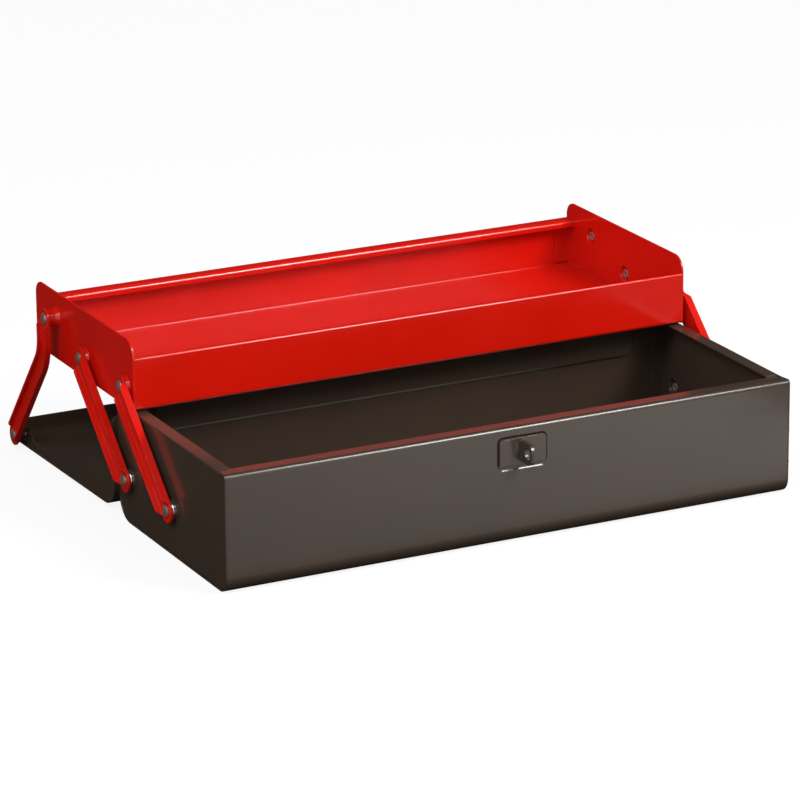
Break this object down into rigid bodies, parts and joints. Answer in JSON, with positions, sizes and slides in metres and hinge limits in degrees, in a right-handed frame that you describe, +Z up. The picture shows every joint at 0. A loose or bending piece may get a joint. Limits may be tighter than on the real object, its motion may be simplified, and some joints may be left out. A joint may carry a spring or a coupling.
{
  "type": "cantilever tool box",
  "caption": "Open steel tool box: a folded box with a staple, a shallow tray swung back on parallel channel arms, and a hinged lid linked to the tray.",
  "frame": {"origin": "centre of the underside of the lower box", "axes": "+X along the box to its right end, +Y from front to rear, +Z up"},
  "size_m": [0.37, 0.3761, 0.1085],
  "materials": {
    "dark_paint": "semi-gloss dark brown-grey paint",
    "red_paint": "gloss red paint",
    "steel": "dull zinc-plated steel"
  },
  "bodies": {
    "box": {"box_shell": "dark_paint", "box_end_left": "dark_paint", "box_end_right": "dark_paint", "staple": "dark_paint", "hinge_leaf_box": "dark_paint", "hinge_pin": "steel", "box_front_rivets": "steel", "box_middle_rivets": "steel"},
    "lid": {"lid_shell": "dark_paint", "lid_end_left": "dark_paint", "lid_end_right": "dark_paint", "hinge_leaf_lid": "dark_paint", "hinge_rivets_lid": "steel", "hasp_plate": "dark_paint", "hasp_pin": "steel", "hasp_rivets": "steel", "handle_bracket_left": "steel", "handle_bracket_right": "steel", "handle_rivets": "steel", "lid_collars": "dark_paint", "lid_rivets": "steel"},
    "tray": {"tray_shell": "red_paint", "tray_end_left": "red_paint", "tray_end_right": "red_paint", "tray_front_rivets": "steel", "tray_middle_rivets": "steel", "tray_rear_rivet_tails": "steel", "tray_collars": "red_paint"},
    "front_arm_left": {"front_arm_left": "red_paint"},
    "front_arm_right": {"front_arm_right": "red_paint"},
    "middle_arm_left": {"middle_arm_left": "red_paint"},
    "middle_arm_right": {"middle_arm_right": "red_paint"},
    "rear_arm_left": {"rear_arm_left": "red_paint", "tray_rear_rivet_head_left": "steel"},
    "rear_arm_right": {"rear_arm_right": "red_paint", "tray_rear_rivet_head_right": "steel"},
    "hasp": {"hasp_strap": "dark_paint"},
    "handle": {"handle": "dark_paint"}
  },
  "joints": [
    {"name": "lid_hinge", "type": "hinge", "parent": "box", "child": "lid", "pos_m": [0, 0.0754, 0.063], "axis": [1, 0, 0], "range_deg": [0, 181.2]},
    {"name": "front_arm_left_pivot", "type": "hinge", "parent": "box", "child": "front_arm_left", "pos_m": [0, -0.0017, 0.0267], "axis": [1, 0, 0], "range_deg": [0, 95.61]},
    {"name": "middle_arm_left_pivot", "type": "hinge", "parent": "box", "child": "middle_arm_left", "pos_m": [0, 0.0559, 0.0267], "axis": [1, 0, 0], "range_deg": [0, 95.61]},
    {"name": "front_arm_right_pivot", "type": "hinge", "parent": "box", "child": "front_arm_right", "pos_m": [0, -0.0017, 0.0267], "axis": [1, 0, 0], "range_deg": [0, 95.61]},
    {"name": "middle_arm_right_pivot", "type": "hinge", "parent": "box", "child": "middle_arm_right", "pos_m": [0, 0.0559, 0.0267], "axis": [1, 0, 0], "range_deg": [0, 95.61]},
    {"name": "tray_pivot", "type": "hinge", "parent": "front_arm_left", "child": "tray", "pos_m": [0, 0.0582, 0.081], "axis": [1, 0, 0], "range_deg": [-95.61, 0]},
    {"name": "rear_arm_left_pivot", "type": "hinge", "parent": "lid", "child": "rear_arm_left", "pos_m": [0, 0.21137, 0.00776], "axis": [1, 0, 0], "range_deg": [0, 44.29]},
    {"name": "rear_arm_right_pivot", "type": "hinge", "parent": "lid", "child": "rear_arm_right", "pos_m": [0, 0.21137, 0.00776], "axis": [1, 0, 0], "range_deg": [0, 44.29]},
    {"name": "hasp_hinge", "type": "hinge", "parent": "lid", "child": "hasp", "pos_m": [0, 0.22604, 0.01535], "axis": [1, 0, 0], "range_deg": [0, 102.92]},
    {"name": "handle_hinge", "type": "hinge", "parent": "lid", "child": "handle", "pos_m": [0, 0.17161, 0.00509], "axis": [1, 0, 0], "range_deg": [-7.17, 82.83]}
  ],
  "couplings": [
    {"joint": "front_arm_left_pivot", "follows": "lid_hinge", "ratio": 0.52767},
    {"joint": "middle_arm_left_pivot", "follows": "lid_hinge", "ratio": 0.52767},
    {"joint": "rear_arm_left_pivot", "follows": "lid_hinge", "ratio": 0.24444},
    {"joint": "front_arm_right_pivot", "follows": "lid_hinge", "ratio": 0.52767},
    {"joint": "middle_arm_right_pivot", "follows": "lid_hinge", "ratio": 0.52767},
    {"joint": "rear_arm_right_pivot", "follows": "lid_hinge", "ratio": 0.24444},
    {"joint": "tray_pivot", "follows": "lid_hinge", "ratio": -0.52767}
  ]
}
